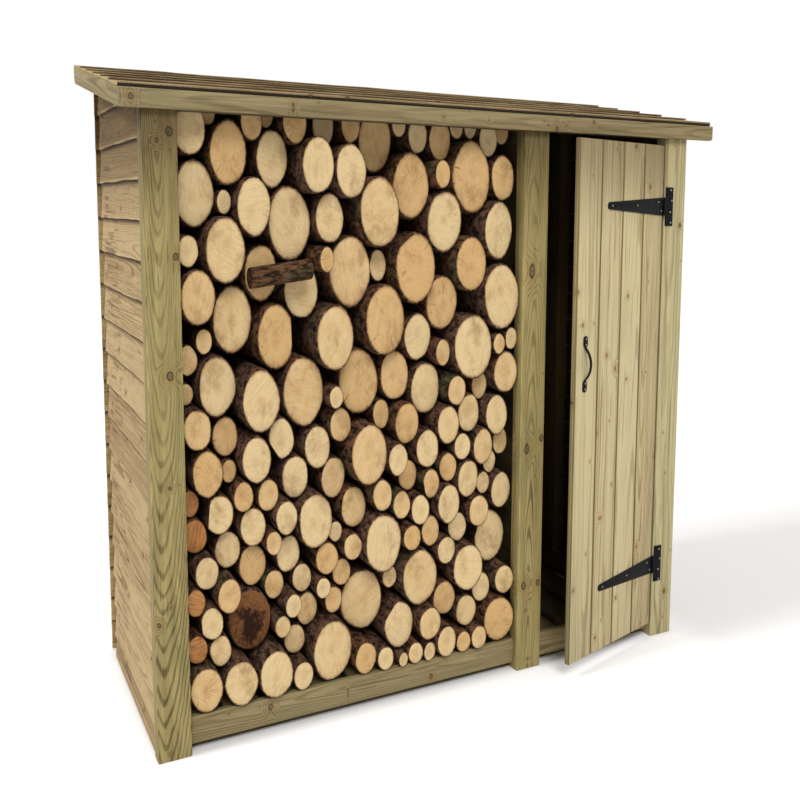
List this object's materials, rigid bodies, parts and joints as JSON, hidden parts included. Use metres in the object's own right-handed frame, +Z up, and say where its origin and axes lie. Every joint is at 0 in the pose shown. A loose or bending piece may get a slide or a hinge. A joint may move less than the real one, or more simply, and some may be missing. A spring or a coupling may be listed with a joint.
{
  "type": "log store",
  "caption": "Softwood log store with a falling board roof, a bay full of cut logs and a narrow tool cupboard with a boarded door on tee hinges",
  "frame": {"origin": "On the ground plane, midway between the outer faces of the end posts and midway between the front of the posts and the back boards", "axes": "+X to the right along the front, +Y to the back, +Z up"},
  "size_m": [1.842, 0.89, 1.8468],
  "materials": {
    "treated_timber": "matte",
    "framing_timber": "matte",
    "rough_boards": "matte",
    "roof_timber": "matte",
    "door_timber": "matte",
    "black_metal": "satin",
    "log_wood": "matte"
  },
  "bodies": {
    "root": {"left_front_post": "treated_timber", "middle_front_post": "treated_timber", "right_front_post": "treated_timber", "left_back_post": "treated_timber", "right_back_post": "treated_timber", "front_fascia": "treated_timber", "left_barge_board": "treated_timber", "right_barge_board": "treated_timber", "log_bay_sill": "treated_timber", "cupboard_sill": "treated_timber", "left_wall_batten": "framing_timber", "right_wall_batten": "framing_timber", "partition_battens": "framing_timber", "left_rafter": "framing_timber", "partition_rafter": "framing_timber", "right_rafter": "framing_timber", "back_top_rails": "framing_timber", "log_bay_head_rail": "framing_timber", "doorway_head_rail": "framing_timber", "floor_bearers": "framing_timber", "log_bay_floor": "framing_timber", "cupboard_floor": "framing_timber", "partition_boards": "framing_timber", "left_wall_cladding": "rough_boards", "right_wall_cladding": "rough_boards", "back_wall_cladding": "rough_boards", "roof_board_1": "roof_timber", "roof_board_2": "roof_timber", "roof_board_3": "roof_timber", "roof_board_4": "roof_timber", "roof_board_5": "roof_timber", "roof_board_6": "roof_timber", "upper_hinge_leaf": "black_metal", "lower_hinge_leaf": "black_metal", "log_course_1": "log_wood", "log_course_2": "log_wood", "log_course_3": "log_wood", "log_course_4": "log_wood", "log_course_5": "log_wood"},
    "door": {"door_boards": "door_timber", "door_ledges": "door_timber", "upper_hinge_strap": "black_metal", "lower_hinge_strap": "black_metal", "door_handle": "black_metal"}
  },
  "joints": [
    {"name": "door", "type": "hinge", "parent": "root", "child": "door", "pos_m": [0.761, -0.3714, 0.85], "axis": [0, 0, 1], "range_deg": [-16.7, 133.3]}
  ]
}
